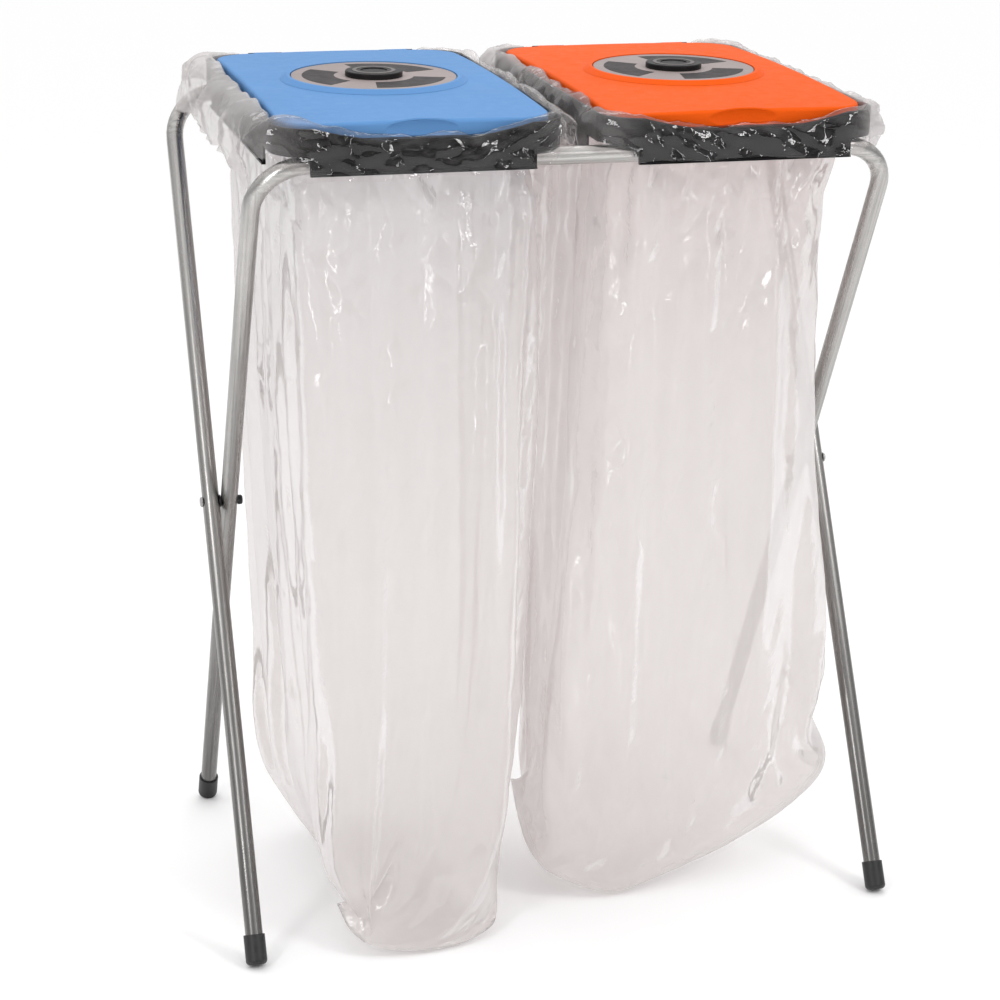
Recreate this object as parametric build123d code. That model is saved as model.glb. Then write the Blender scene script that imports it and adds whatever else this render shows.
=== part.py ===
from build123d import *
import os
from math import atan2, cos, radians, sin, tan

# Folding stand for two waste sacks. Two steel tube U-frames cross at a pivot bolt on
# each side. Two black plastic rims hook over the two cross bars and hold the sacks
# open. Each rim has a hinged lid, and each lid has a round lift-out hatch with a knob.
# Millimetres, +Z up, origin on the floor below the middle, -Y is the front.

os.makedirs("parts", exist_ok=True)

# Tube frames: the rims slope down to the front bar, so the rear bar is the higher one
TUBE_R = 11.0
TUBE_WALL = 1.5
BAR_Z = 1000.0
BAR_Y = 250.0
RIM_SLOPE = 2.7
REAR_BAR_Y = 2 * BAR_Y * cos(radians(RIM_SLOPE)) - BAR_Y
REAR_BAR_Z = BAR_Z + 2 * BAR_Y * sin(radians(RIM_SLOPE))
FOOT_Y = 275.0
BEND_R = 65.0
INNER_LEG_X = 395.0
OUTER_LEG_X = 418.5
FRONT_TILT = atan2(BAR_Y + FOOT_Y, BAR_Z)
REAR_TILT = atan2(REAR_BAR_Y + FOOT_Y, REAR_BAR_Z)
PIVOT_Z = 2 * FOOT_Y / (tan(FRONT_TILT) + tan(REAR_TILT))
PIVOT_Y = FOOT_Y - PIVOT_Z * tan(FRONT_TILT)

# Rubber foot caps
CAP_R = 13.5
CAP_LENGTH = 38.0
CAP_DOME = 6.0
CAP_FLOOR = 5.0
CAP_FLAT = 0.5
CAP_MOUTH_ROUND = 1.0

# Pivot bolts
BOLT_R = 3.0
BOLT_HEAD_R = 6.5
BOLT_HEAD = 3.2
BOLT_PLAY = 0.05
HEAD_ROUND = 2.4
NUT_R = 6.2
NUT_LENGTH = 6.0
NUT_ROUND = 2.5
NUT_WALL = 1.0
PIVOT_PLAY = 0.3
SPACER_R = 8.0

# Sack rims
RIM_X = 198.0
RIM_W = 350.0
RIM_D = 544.0
RIM_CORNER = 48.0
RIM_WALL = 3.0
RIM_TOP = 1045.0
LEDGE_TOP = 1030.0
SKIRT_BOTTOM = 990.0
CORNER_BOTTOM = 1012.0
SKIRT_HALF_X = 135.0
SKIRT_HALF_Y = 190.0
THROAT_W = 316.0
THROAT_D = 452.0
THROAT_CORNER = 40.0
THROAT_BOTTOM = 1003.0
LIP = 2.0
LIP_HEIGHT = 2.5
FRONT_DIP = 18.0
FRONT_DIP_HALF = 130.0

# Clips on the rear bar and rest pads on the front bar
CLIP_SPREAD = 100.0
CLIP_W = 30.0
CLIP_D = 34.0
CLIP_BOTTOM = 984.0
CLIP_PLAY = 0.05
CLIP_MOUTH = 17.0
SCREW_R = 2.0
SCREW_HEAD_R = 3.8
SCREW_HEAD = 2.4
SCREW_SPREAD = 9.0
SCREW_Y = 244.0
SCREW_LOW = 1014.0
PAD_SPREAD = 85.0
PAD_W = 24.0
PAD_BOTTOM = 1008.0
PAD_GAP = 0.3

# Lids and their hinges
LID_W = 326.0
LID_D = 514.0
LID_CORNER = 45.0
LID_SHELL = 2.5
LID_GAP = 0.3
LID_ROOF = 3.0
LID_CROWN = 1055.0
LID_CROWN_R = 5600.0
LID_EDGE_FILLET = 4.0
THUMB_W = 105.0
THUMB_H = 26.0
THUMB_DEPTH = 10.0
THUMB_Y = 262.5
THUMB_Z = 1039.0
HINGE_Y = 264.5
HINGE_Z = 1043.0
HINGE_SPREAD = 90.0
KNUCKLE_R = 4.5
KNUCKLE_W = 30.0
LUG_HALF_T = 2.5
EAR_R = 4.3
EAR_W = 7.0
EAR_GAP = 0.5
PIN_R = 2.5
PIN_PLAY = 0.05
NOTCH_HALF = 116.0
NOTCH_Z = 1034.0

# Round hatch in each lid
HATCH_Z = 1058.0
HATCH_R = 103.4
HATCH_T = 4.0
SEAT_Z = 1052.7
SEAT_HOLE_R = 98.0
SEAT_T = 2.5
WELL_R = 104.8
COLLAR_R = 109.0
PLATEAU_Z = 1059.0
PLATEAU_FOOT_R = 117.0
PLUG_R = 96.0
PLUG_WALL = 2.5
PLUG_DEPTH = 8.0
SEAL_R = 104.4
SEAL_T = 1.0
VANE_IN_R = 50.0
VANE_OUT_R = 90.0
VANE_SPAN = 82.0
VANE_STARTS = (20.0, 140.0, 260.0)
VANE_DEPTH = 0.6
VANE_RISE = 0.2
KNOB_R = 36.0
KNOB_H = 7.0
KNOB_ROUND = 2.0
KNOB_DISH = 1.0
KNOB_RING_R = 27.0
KNOB_RING_W = 5.0
KNOB_RING_DEPTH = 1.5
KNOB_RING_RISE = 0.4
KNOB_SCREW_R = 2.5
KNOB_SCREW_REACH = 4.0
KNOB_SCREW_HEAD_R = 5.0
KNOB_SCREW_HEAD = 2.5

# Sacks
SACK_WALL = 0.8
SACK_GAP = 0.5
SACK_TOP = 1022.0
SACK_NECK = 999.0
SACK_FLOOR = 8.0

# How far a cutter or a joined piece runs past a face
PAST = 1.0


def save(shape, node):
    export_step(shape, "parts/" + node + ".step")


def mirror_x(shape):
    return shape.mirror(Plane.YZ)


def slab(cx, width, depth, corner, z_low, z_high):
    """Upright prism with a round-cornered rectangular plan."""
    outline = Plane.XY.offset(z_low) * (Pos(cx, 0) * RectangleRounded(width, depth, corner))
    return extrude(outline, z_high - z_low)


def block(x_low, x_high, y_low, y_high, z_low, z_high):
    middle = ((x_low + x_high) / 2, (y_low + y_high) / 2, (z_low + z_high) / 2)
    return Pos(*middle) * Box(x_high - x_low, y_high - y_low, z_high - z_low)


def disc(cx, radius, z_low, z_high):
    return Pos(cx, 0, (z_low + z_high) / 2) * Cylinder(radius, z_high - z_low)


def pipe(cx, outer_r, inner_r, z_low, z_high):
    return disc(cx, outer_r, z_low, z_high) - disc(cx, inner_r, z_low - PAST, z_high + PAST)


def post(x, y, radius, z_low, z_high):
    """Upright round rod."""
    return Pos(x, y, (z_low + z_high) / 2) * Cylinder(radius, z_high - z_low)


def sloped(shape):
    """Turns a shape made level about the front bar, to the slope of the rims."""
    return shape.rotate(Axis((0, -BAR_Y, BAR_Z), (1, 0, 0)), RIM_SLOPE)


def cross_rod(x_low, x_high, y, z, radius):
    """Round rod along X."""
    middle = Pos((x_low + x_high) / 2, y, z)
    return middle * Rot(0, 90, 0) * Cylinder(radius, x_high - x_low)


# Frames


def cap_end(tilt):
    """Y and Z of the middle of a foot cap's bottom, on the leg's axis."""
    z = (CAP_R - CAP_DOME) * sin(tilt) + CAP_DOME * (1 - cos(tilt)) - CAP_FLAT
    return FOOT_Y - z * tan(tilt), z


def u_tube(leg_x, bar_y, bar_z, pivot_y, hole_r):
    """One bent tube with its bar in front and its feet behind, drilled for the pivot bolts."""
    tilt = atan2(bar_y + FOOT_Y, bar_z)
    tube_end = cap_end(tilt)[1] + CAP_FLOOR * cos(tilt)
    leg = (bar_z - tube_end) / cos(tilt)
    forward = (0, -cos(tilt), -sin(tilt))
    flat = Plane(origin=(0, -bar_y, bar_z), x_dir=(1, 0, 0), z_dir=forward)
    corners = [(-leg_x, -leg), (-leg_x, 0), (leg_x, 0), (leg_x, -leg)]
    path = flat * FilletPolyline(*corners, radius=BEND_R)
    start = Plane(origin=path @ 0, z_dir=path % 0)
    outer = sweep(start * Circle(TUBE_R), path=path)
    inner = sweep(start * Circle(TUBE_R - TUBE_WALL), path=path)
    drill = cross_rod(-leg_x - 2 * TUBE_R, leg_x + 2 * TUBE_R, pivot_y, PIVOT_Z, hole_r)
    return outer - inner - drill


def foot_cap(leg_x, tilt):
    """Rubber cap on the end of a leg that leans back, flattened where it stands."""
    y, z = cap_end(tilt)
    body = Cylinder(CAP_R, CAP_LENGTH, align=(Align.CENTER, Align.CENTER, Align.MIN))
    ends = body.edges().filter_by(GeomType.CIRCLE).sort_by(Axis.Z)
    body = fillet(ends[0], CAP_DOME)
    ends = body.edges().filter_by(GeomType.CIRCLE).sort_by(Axis.Z)
    body = fillet(ends[-1], CAP_MOUTH_ROUND)
    socket = Pos(0, 0, CAP_FLOOR) * Cylinder(
        TUBE_R, CAP_LENGTH, align=(Align.CENTER, Align.CENTER, Align.MIN)
    )
    along_leg = Plane(origin=(leg_x, y, z), x_dir=(1, 0, 0), z_dir=(0, -sin(tilt), cos(tilt)))
    cap = along_leg * (body - socket)
    floor = block(leg_x - 2 * CAP_R, leg_x + 2 * CAP_R, y - 2 * CAP_R, y + 2 * CAP_R, -CAP_R, 0)
    return cap - floor


def pivot_bolt():
    """Round-headed bolt through the right pair of legs, head outside."""
    outside = OUTER_LEG_X + TUBE_R
    tip = INNER_LEG_X - TUBE_R - PIVOT_PLAY - NUT_LENGTH + NUT_WALL
    shank = cross_rod(tip, outside, PIVOT_Y, PIVOT_Z, BOLT_R)
    head = Cylinder(BOLT_HEAD_R, BOLT_HEAD, align=(Align.CENTER, Align.CENTER, Align.MIN))
    head = fillet(head.edges().sort_by(Axis.Z)[-1], HEAD_ROUND)
    return shank + Pos(outside, PIVOT_Y, PIVOT_Z) * Rot(0, 90, 0) * head


def pivot_nut():
    """Domed cap nut on the inner end of the right pivot bolt."""
    face = INNER_LEG_X - TUBE_R - PIVOT_PLAY
    nut = Cylinder(NUT_R, NUT_LENGTH, align=(Align.CENTER, Align.CENTER, Align.MIN))
    nut = fillet(nut.edges().sort_by(Axis.Z)[-1], NUT_ROUND)
    placed = Pos(face, PIVOT_Y, PIVOT_Z) * Rot(0, -90, 0) * nut
    bottom = face - NUT_LENGTH + NUT_WALL
    return placed - cross_rod(bottom, face + PAST, PIVOT_Y, PIVOT_Z, BOLT_R)


def pivot_spacer():
    """Thin washer that keeps the two right legs apart."""
    low = INNER_LEG_X + TUBE_R + PIVOT_PLAY
    high = OUTER_LEG_X - TUBE_R
    ring = cross_rod(low, high, PIVOT_Y, PIVOT_Z, SPACER_R)
    return ring - cross_rod(low - PAST, high + PAST, PIVOT_Y, PIVOT_Z, BOLT_R)


def make_frames():
    front = u_tube(INNER_LEG_X, BAR_Y, BAR_Z, PIVOT_Y, BOLT_R + BOLT_PLAY)
    rear = u_tube(OUTER_LEG_X, REAR_BAR_Y, REAR_BAR_Z, -PIVOT_Y, BOLT_R)
    save(front, "front_frame_tube")
    save(rear.mirror(Plane.XZ), "rear_frame_tube")
    for side, sign in (("left", -1), ("right", 1)):
        save(foot_cap(sign * INNER_LEG_X, FRONT_TILT), "foot_cap_back_" + side)
        cap = foot_cap(sign * OUTER_LEG_X, REAR_TILT)
        save(cap.mirror(Plane.XZ), "foot_cap_front_" + side)
    for name, piece in (("bolt", pivot_bolt()), ("nut", pivot_nut()), ("spacer", pivot_spacer())):
        save(piece, "pivot_" + name + "_right")
        save(mirror_x(piece), "pivot_" + name + "_left")


# Rims


def hinge_ears(cx):
    """Pairs of ears on the rim's rear ledge that carry the lid pins."""
    inner = KNUCKLE_W / 2 + EAR_GAP
    ears = []
    for hx in (cx - HINGE_SPREAD, cx + HINGE_SPREAD):
        for low in (hx - inner - EAR_W, hx + inner):
            foot = LEDGE_TOP - PAST
            ear = block(low, low + EAR_W, HINGE_Y - EAR_R, HINGE_Y + EAR_R, foot, HINGE_Z)
            ear += cross_rod(low, low + EAR_W, HINGE_Y, HINGE_Z, EAR_R)
            ears.append(ear - cross_rod(low - PAST, low + EAR_W + PAST, HINGE_Y, HINGE_Z, PIN_R))
    return ears


def front_dip(cx):
    """Cutter that lowers the middle of the rim's front wall."""
    radius = (FRONT_DIP_HALF**2 + FRONT_DIP**2) / (2 * FRONT_DIP)
    place = Pos(cx, -RIM_D / 2, RIM_TOP - FRONT_DIP + radius) * Rot(90, 0, 0)
    return place * Cylinder(radius, 4 * RIM_WALL)


def corner_cutters(cx):
    """Blocks that shorten the skirt at the four corners, where the tubes pass."""
    low = SKIRT_BOTTOM - PAST
    far_x = RIM_W / 2 + 2 * LIP
    far_y = RIM_D / 2 + 2 * LIP
    cutters = []
    for x_low, x_high in ((-far_x, -SKIRT_HALF_X), (SKIRT_HALF_X, far_x)):
        for y_low, y_high in ((-far_y, -SKIRT_HALF_Y), (SKIRT_HALF_Y, far_y)):
            cutters.append(block(cx + x_low, cx + x_high, y_low, y_high, low, CORNER_BOTTOM))
    return cutters


def rim_slab(cx, inset, z_low, z_high):
    """Prism with the rim's outline, moved in by the inset."""
    return slab(cx, RIM_W - 2 * inset, RIM_D - 2 * inset, RIM_CORNER - inset, z_low, z_high)


def throat_slab(cx, outset, z_low, z_high):
    """Prism with the throat's outline, moved out by the outset."""
    return slab(
        cx, THROAT_W + 2 * outset, THROAT_D + 2 * outset, THROAT_CORNER + outset, z_low, z_high
    )


def rim(cx):
    """Sack rim: outer wall, ledge, throat wall, and deep skirts over the bars."""
    body = rim_slab(cx, 0, SKIRT_BOTTOM, RIM_TOP)
    body += rim_slab(cx, -LIP, SKIRT_BOTTOM, SKIRT_BOTTOM + LIP_HEIGHT)
    body -= rim_slab(cx, RIM_WALL, LEDGE_TOP, RIM_TOP)
    channel = rim_slab(cx, RIM_WALL, THROAT_BOTTOM, LEDGE_TOP - RIM_WALL)
    body -= channel - throat_slab(cx, RIM_WALL, THROAT_BOTTOM, RIM_TOP)
    body -= rim_slab(cx, RIM_WALL, SKIRT_BOTTOM, THROAT_BOTTOM)
    body -= throat_slab(cx, 0, SKIRT_BOTTOM, RIM_TOP)
    for cutter in corner_cutters(cx):
        body -= cutter
    near_y = RIM_D / 2 - RIM_WALL - PAST
    far_y = RIM_D / 2 + PAST
    body -= block(cx - NOTCH_HALF, cx + NOTCH_HALF, near_y, far_y, NOTCH_Z, RIM_TOP + PAST)
    for ear in hinge_ears(cx):
        body += ear
    for x, y in screw_places(cx):
        body -= post(x, y, SCREW_R, LEDGE_TOP - RIM_WALL, LEDGE_TOP)
    return body - front_dip(cx)


def screw_places(cx):
    """X and Y of the screws that hold the two clips of a rim."""
    places = []
    for middle in (cx - CLIP_SPREAD, cx + CLIP_SPREAD):
        places += [(middle - SCREW_SPREAD, SCREW_Y), (middle + SCREW_SPREAD, SCREW_Y)]
    return places


def bar_clip(x, screws):
    """Snap clip that grips the rear bar and lets the rim swing on it."""
    low_x = x - CLIP_W / 2
    high_x = x + CLIP_W / 2
    half_d = CLIP_D / 2
    clip = block(low_x, high_x, BAR_Y - half_d, BAR_Y + half_d, CLIP_BOTTOM, LEDGE_TOP - RIM_WALL)
    clip -= cross_rod(low_x - PAST, high_x + PAST, BAR_Y, BAR_Z, TUBE_R + CLIP_PLAY)
    mouth_y = BAR_Y - CLIP_MOUTH / 2
    mouth_z = CLIP_BOTTOM - PAST
    clip -= block(low_x - PAST, high_x + PAST, mouth_y, mouth_y + CLIP_MOUTH, mouth_z, BAR_Z)
    for sx, sy in screws:
        clip -= post(sx, sy, SCREW_R, SCREW_LOW, LEDGE_TOP)
    return clip


def clip_screw(x, y):
    shank = post(x, y, SCREW_R, SCREW_LOW, LEDGE_TOP)
    return shank + post(x, y, SCREW_HEAD_R, LEDGE_TOP, LEDGE_TOP + SCREW_HEAD)


def rest_pad(x):
    """Rubber pad under the ledge that sits on the front bar."""
    half_w = PAD_W / 2
    top = LEDGE_TOP - RIM_WALL
    pad = block(x - half_w, x + half_w, -BAR_Y - TUBE_R, -BAR_Y + TUBE_R, PAD_BOTTOM, top)
    return pad - cross_rod(x - PAD_W, x + PAD_W, -BAR_Y, BAR_Z, TUBE_R + PAD_GAP)


def lid_pin(x):
    reach = KNUCKLE_W / 2 + EAR_GAP + EAR_W
    return cross_rod(x - reach, x + reach, HINGE_Y, HINGE_Z, PIN_R)


def make_rim(cx, side):
    places = screw_places(cx)
    save(sloped(rim(cx)), "rim_" + side)
    save(sloped(bar_clip(cx - CLIP_SPREAD, places[:2])), "bar_clip_" + side + "_a")
    save(sloped(bar_clip(cx + CLIP_SPREAD, places[2:])), "bar_clip_" + side + "_b")
    screws = [sloped(clip_screw(x, y)) for x, y in places]
    save(Compound(children=screws), "clip_screws_" + side)
    pads = [sloped(rest_pad(cx + dx)) for dx in (-PAD_SPREAD, PAD_SPREAD)]
    save(Compound(children=pads), "rest_pads_" + side)
    pins = [sloped(lid_pin(cx + dx)) for dx in (-HINGE_SPREAD, HINGE_SPREAD)]
    save(Compound(children=pins), "lid_pins_" + side)


# Lids


def crown(cx, top):
    """Large ball whose top is the lid's gentle crown."""
    return Pos(cx, 0, top - LID_CROWN_R) * Sphere(LID_CROWN_R)


def hatch_collar(cx):
    """Raised ring around the hatch with a stepped seat."""
    rise = PLATEAU_Z - LID_CROWN + PAST
    slope = Pos(cx, 0, PLATEAU_Z - rise / 2) * Cone(PLATEAU_FOOT_R, COLLAR_R, rise)
    return slope + disc(cx, COLLAR_R, SEAT_Z - SEAT_T, PLATEAU_Z)


def thumb_recess(cx):
    """Flat oval scoop in the middle of the lid's front edge."""
    ball = scale(Sphere(1), by=(THUMB_W / 2, THUMB_DEPTH, THUMB_H / 2))
    return Pos(cx, -THUMB_Y, THUMB_Z) * ball


def lid_knuckles(cx):
    lugs = []
    for hx in (cx - HINGE_SPREAD, cx + HINGE_SPREAD):
        low = hx - KNUCKLE_W / 2
        high = hx + KNUCKLE_W / 2
        root = LID_D / 2 - 2 * PAST
        lug = block(low, high, root, HINGE_Y, HINGE_Z - LUG_HALF_T, HINGE_Z + LUG_HALF_T)
        lug += cross_rod(low, high, HINGE_Y, HINGE_Z, KNUCKLE_R)
        bore = cross_rod(low - PAST, high + PAST, HINGE_Y, HINGE_Z, PIN_R + PIN_PLAY)
        lugs.append(lug - bore)
    return lugs


def lid_slab(cx, inset, z_low, z_high):
    """Prism with the lid's outline, moved in by the inset."""
    return slab(cx, LID_W - 2 * inset, LID_D - 2 * inset, LID_CORNER - inset, z_low, z_high)


def lid(cx):
    """Crowned lid shell with a rounded edge, a hatch hole and a thumb recess."""
    low = LEDGE_TOP + LID_GAP
    scoop = thumb_recess(cx)
    body = lid_slab(cx, 0, low, LID_CROWN + PAST) & crown(cx, LID_CROWN)
    rim_edges = body.faces().sort_by(Axis.Z)[-1].outer_wire().edges()
    body = fillet(rim_edges, LID_EDGE_FILLET) - scoop
    body -= lid_slab(cx, LID_SHELL, low - PAST, LID_CROWN) & crown(cx, LID_CROWN - LID_ROOF)
    backing = (Pos(0, LID_SHELL, 0) * scoop) & lid_slab(cx, 0, low, LID_CROWN - LID_ROOF / 2)
    body += backing - scoop
    body += hatch_collar(cx)
    body -= disc(cx, WELL_R, SEAT_Z, PLATEAU_Z + PAST)
    body -= disc(cx, SEAT_HOLE_R, low - PAST, PLATEAU_Z)
    for lug in lid_knuckles(cx):
        body += lug
    return body


# Hatches


def vane(cx, start, z_low, z_high):
    """One flat curved vane, part of a ring."""
    reach = 3 * VANE_OUT_R
    spokes = [(start, reach), (start + VANE_SPAN / 2, 2 * reach), (start + VANE_SPAN, reach)]
    corners = [(cx, 0)]
    for angle, length in spokes:
        corners.append((cx + length * cos(radians(angle)), length * sin(radians(angle))))
    face = Plane.XY.offset(z_low - PAST) * make_face(Polyline(*corners, close=True))
    wedge = extrude(face, z_high - z_low + 2 * PAST)
    return pipe(cx, VANE_OUT_R, VANE_IN_R, z_low, z_high) & wedge


def vanes(cx):
    return [vane(cx, start, HATCH_Z - VANE_DEPTH, HATCH_Z + VANE_RISE) for start in VANE_STARTS]


def hatch(cx):
    """Round lift-out hatch with a plug ring below and pockets for its vanes."""
    under = HATCH_Z - HATCH_T
    body = disc(cx, HATCH_R, under, HATCH_Z)
    body += pipe(cx, PLUG_R, PLUG_R - PLUG_WALL, under - PLUG_DEPTH, under)
    body -= disc(cx, KNOB_SCREW_R, under - PAST, HATCH_Z)
    for piece in vanes(cx):
        body -= piece
    return body


def hatch_seal(cx):
    """Flat gasket under the hatch's edge, seen as a dark line around it."""
    top = HATCH_Z - HATCH_T
    return pipe(cx, SEAL_R, PLUG_R, top - SEAL_T, top)


def knob(cx):
    """Round knob with a shallow dish, a groove for its ring and a blind screw hole."""
    top = HATCH_Z + KNOB_H
    body = disc(cx, KNOB_R, HATCH_Z, top)
    body = fillet(body.edges().sort_by(Axis.Z)[-1], KNOB_ROUND)
    body -= pipe(cx, KNOB_RING_R, KNOB_RING_R - KNOB_RING_W, top - KNOB_RING_DEPTH, top + PAST)
    body -= disc(cx, KNOB_RING_R - 2 * KNOB_RING_W, top - KNOB_DISH, top + PAST)
    return body - disc(cx, KNOB_SCREW_R, HATCH_Z - PAST, HATCH_Z + KNOB_SCREW_REACH)


def knob_ring(cx):
    top = HATCH_Z + KNOB_H
    inner_r = KNOB_RING_R - KNOB_RING_W
    return pipe(cx, KNOB_RING_R, inner_r, top - KNOB_RING_DEPTH, top + KNOB_RING_RISE)


def knob_screw(cx):
    under = HATCH_Z - HATCH_T
    shank = disc(cx, KNOB_SCREW_R, under, HATCH_Z + KNOB_SCREW_REACH)
    return shank + disc(cx, KNOB_SCREW_HEAD_R, under - KNOB_SCREW_HEAD, under)


def make_lid(cx, side):
    save(sloped(lid(cx)), "lid_" + side)
    save(sloped(hatch(cx)), "hatch_" + side)
    save(Compound(children=[sloped(piece) for piece in vanes(cx)]), "hatch_vanes_" + side)
    save(sloped(hatch_seal(cx)), "hatch_seal_" + side)
    save(sloped(knob(cx)), "knob_" + side)
    save(sloped(knob_ring(cx)), "knob_ring_" + side)
    save(sloped(knob_screw(cx)), "knob_screw_" + side)


# Sacks


def sack_sections(side):
    """Height, middle, half sizes and corner of each level of a sack.

    The left sack's bottom seam runs from front to back. The right sack's runs from side
    to side, near the front, and hangs lowest at one point.
    """
    sign = -1 if side == "left" else 1
    half_w = THROAT_W / 2 - SACK_GAP
    half_d = THROAT_D / 2 - SACK_GAP
    corner = THROAT_CORNER - SACK_GAP
    levels = [
        (SACK_TOP, sign * RIM_X, 0, half_w, half_d, corner),
        (SACK_NECK, sign * RIM_X, 0, half_w, half_d, corner),
        (930, sign * 194, 0, 164, 232, 50),
    ]
    if side == "left":
        levels.append((560, -192, 0, 168, 254, 60))
        levels.append((300, -196, 0, 152, 270, 60))
        levels.append((120, -210, 0, 136, 282, 55))
        levels.append((SACK_FLOOR, -206, 0, 108, 290, 50))
    else:
        levels.append((560, 192, 0, 168, 236, 60))
        levels.append((300, 178, -52, 198, 168, 60))
        levels.append((120, 178, -104, 214, 102, 50))
        levels.append((SACK_FLOOR, 100, -165, 80, 48, 40))
    return levels


def sack_solid(sections, inset):
    outlines = []
    for z, cx, cy, half_w, half_d, corner in sections:
        outline = RectangleRounded(2 * (half_w - inset), 2 * (half_d - inset), corner - inset)
        placed = Pos(cx, cy, z) * outline
        outlines.append(sloped(placed) if z >= SACK_NECK else placed)
    return loft(outlines, ruled=True)


def sack(side):
    """Open-topped sack hanging in the rim's throat, its foot just off the floor."""
    sections = sack_sections(side)
    outer = sack_solid(sections, 0)
    inside = [(SACK_TOP + PAST,) + sections[0][1:]] + sections[1:-1]
    inside.append((SACK_FLOOR + SACK_WALL,) + sections[-1][1:])
    return outer - sack_solid(inside, SACK_WALL)


make_frames()
for name, middle in (("left", -RIM_X), ("right", RIM_X)):
    make_rim(middle, name)
    make_lid(middle, name)
    save(sack(name), "sack_" + name)
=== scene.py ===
import math

import bpy
import numpy as np
from mathutils import Matrix, Vector


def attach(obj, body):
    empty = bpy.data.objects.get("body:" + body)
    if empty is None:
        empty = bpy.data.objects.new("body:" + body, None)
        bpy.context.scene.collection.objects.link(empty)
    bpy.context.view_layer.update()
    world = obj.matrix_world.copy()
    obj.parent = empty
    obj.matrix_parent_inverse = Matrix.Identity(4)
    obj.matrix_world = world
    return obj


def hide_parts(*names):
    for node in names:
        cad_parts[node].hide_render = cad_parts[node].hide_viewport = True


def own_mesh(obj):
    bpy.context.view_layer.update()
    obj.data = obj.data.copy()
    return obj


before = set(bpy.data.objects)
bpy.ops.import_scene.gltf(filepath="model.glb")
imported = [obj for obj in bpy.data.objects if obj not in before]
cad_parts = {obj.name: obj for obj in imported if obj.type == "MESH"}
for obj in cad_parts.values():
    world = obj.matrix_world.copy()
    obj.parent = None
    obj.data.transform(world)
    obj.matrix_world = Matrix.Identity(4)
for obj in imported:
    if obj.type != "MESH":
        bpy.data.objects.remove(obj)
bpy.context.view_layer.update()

# Film sacks: the film's tube is 1.74 m around and 1.15 m long, before it is hung.
FILM_ROUND = 1.74
COLUMNS = 240
CUFF_ROWS = 18
HANGING_ROWS = 112
# The rim: half width, half depth and corner of its outer wall and of its throat, the
# heights of its ledge, throat and wall, and the dip and notch in the top of its wall.
RIM_X = 0.198
RIM_HALF = (0.175, 0.272, 0.048)
THROAT_HALF = (0.158, 0.226, 0.040)
LEDGE_Z = 1.030
THROAT_Z = 1.003
BAR_Y = 0.25
BAR_TOP = 1.0135
WALL_TOP = 1.045
DIP_BOTTOM, DIP_DEPTH, DIP_HALF = 1.027, 0.018, 0.130
NOTCH_BOTTOM, NOTCH_DEPTH, NOTCH_ENDS = 1.0345, 0.0105, (0.113, 0.125)
FILM_GAP = 0.00015
PLEAT_DEPTH = 0.0085
WELD_Z = 0.02
# The rims slope down to the front: they are laid out level and turned about the front bar.
SLOPE = math.radians(2.7)
SLOPE_Z = 1.0
SIM_FRAMES = 32
MOVE_CAP = 0.035

# How far the cuff stands out from the rim, how high its hem is and how much its crest
# stands up, each on the left, right, front and back of the rim.
CUFFS = {
    "left": {
        "billow": (0.022, 0.010, 0.004, 0.006),
        "hem": (0.978, 0.984, 0.986, 0.984),
        "fluff": (0.008, 0.006, 0.006, 0.001),
    },
    "right": {
        "billow": (0.010, 0.005, 0.003, 0.006),
        "hem": (0.984, 0.986, 0.9945, 0.984),
        "fluff": (0.007, 0.003, 0.003, 0.001),
    },
}
SEEDS = {
    "left": {"cuff": 3, "hanging": 5, "creased": 23, "fine": 41},
    "right": {"cuff": 11, "hanging": 17, "creased": 37, "fine": 53},
}

# Sockets of a Mix node, which share their names.
MIX_SHARE, FLOAT_A, FLOAT_B, FLOAT_OUT = 0, 2, 3, 0
COLOUR_A, COLOUR_B, COLOUR_OUT = 6, 7, 2

FILM_COLOUR = (0.80, 0.765, 0.755, 1)
CLEAR_COLOUR = (0.935, 0.915, 0.915, 1)

scene = bpy.context.scene


# ---------------------------------------------------------------- materials


def new_material(name):
    """An empty node material with its Principled shader, and a short way to add nodes."""
    mat = bpy.data.materials.new(name)
    mat.use_nodes = True
    tree = mat.node_tree
    shader = tree.nodes["Principled BSDF"]

    def add(kind, **values):
        node = tree.nodes.new("ShaderNode" + kind)
        for key, value in values.items():
            if key in node.inputs:
                node.inputs[key].default_value = value
            else:
                setattr(node, key, value)
        return node

    return mat, tree, shader, add


def ramp(add, tree, source, stops):
    """Maps a value onto colours, given as (place, colour) stops."""
    node = add("ValToRGB")
    elements = node.color_ramp.elements
    for element, (place, colour) in zip(elements, stops):
        element.position = place
        element.color = colour
    for place, colour in stops[2:]:
        elements.new(place).color = colour
    tree.links.new(source, node.inputs["Fac"])
    return node.outputs["Color"]


def spread(add, tree, source, low, high, from_low=0.0, from_high=1.0):
    """Maps a value range onto another."""
    node = add("MapRange")
    for key, value in (
        ("From Min", from_low), ("From Max", from_high), ("To Min", low), ("To Max", high),
    ):
        node.inputs[key].default_value = value
    tree.links.new(source, node.inputs["Value"])
    return node.outputs["Result"]


def bump(add, tree, source, strength, distance, below=None):
    """A bump from a height value, on top of the one below; a strength may be a socket."""
    node = add("Bump", Distance=distance)
    if isinstance(strength, float):
        node.inputs["Strength"].default_value = strength
    else:
        tree.links.new(strength, node.inputs["Strength"])
    tree.links.new(source, node.inputs["Height"])
    if below is not None:
        tree.links.new(below, node.inputs["Normal"])
    return node.outputs["Normal"]


def shade(colour, factor):
    """The colour made darker or lighter, with its alpha."""
    return tuple(min(1.0, c * factor) for c in colour) + (1.0,)


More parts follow.
